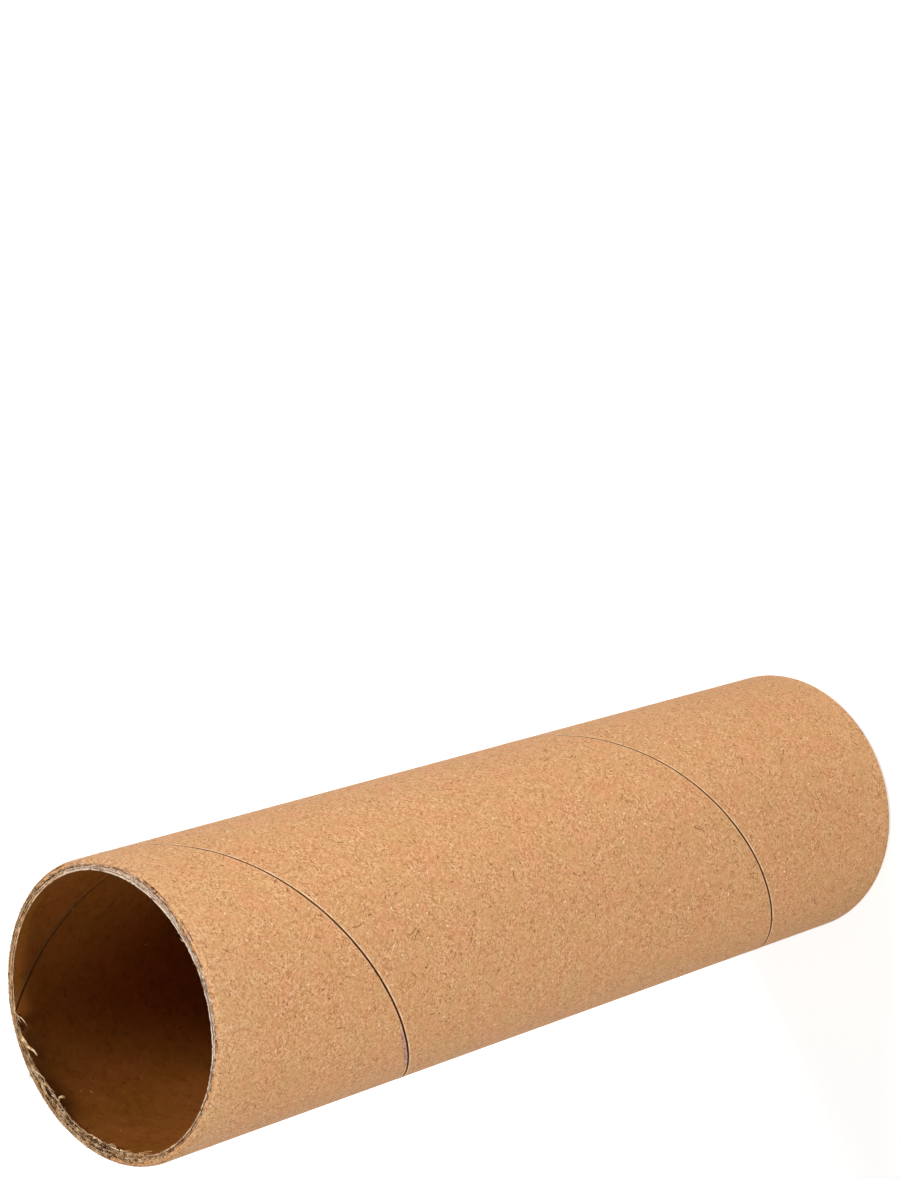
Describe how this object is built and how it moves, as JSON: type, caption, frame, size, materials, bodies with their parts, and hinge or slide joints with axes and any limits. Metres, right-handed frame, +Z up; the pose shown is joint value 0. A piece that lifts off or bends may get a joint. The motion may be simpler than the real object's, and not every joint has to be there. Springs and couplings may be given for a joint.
{
  "type": "cardboard mailing tube",
  "caption": "Open spiral-wound cardboard tube for posting or storing rolled papers; takes a plug in either end.",
  "frame": {"origin": "centre of the end that the tube stands on", "axes": "+Z up along the tube, from the far end of the lying tube in the picture to its near, frayed end; +X passes the foot of the outer seam"},
  "size_m": [0.0548, 0.0548, 0.195],
  "materials": {
    "kraft_board": "matt unbleached kraft paper"
  },
  "bodies": {
    "root": {"tube": "kraft_board"}
  },
  "joints": []
}
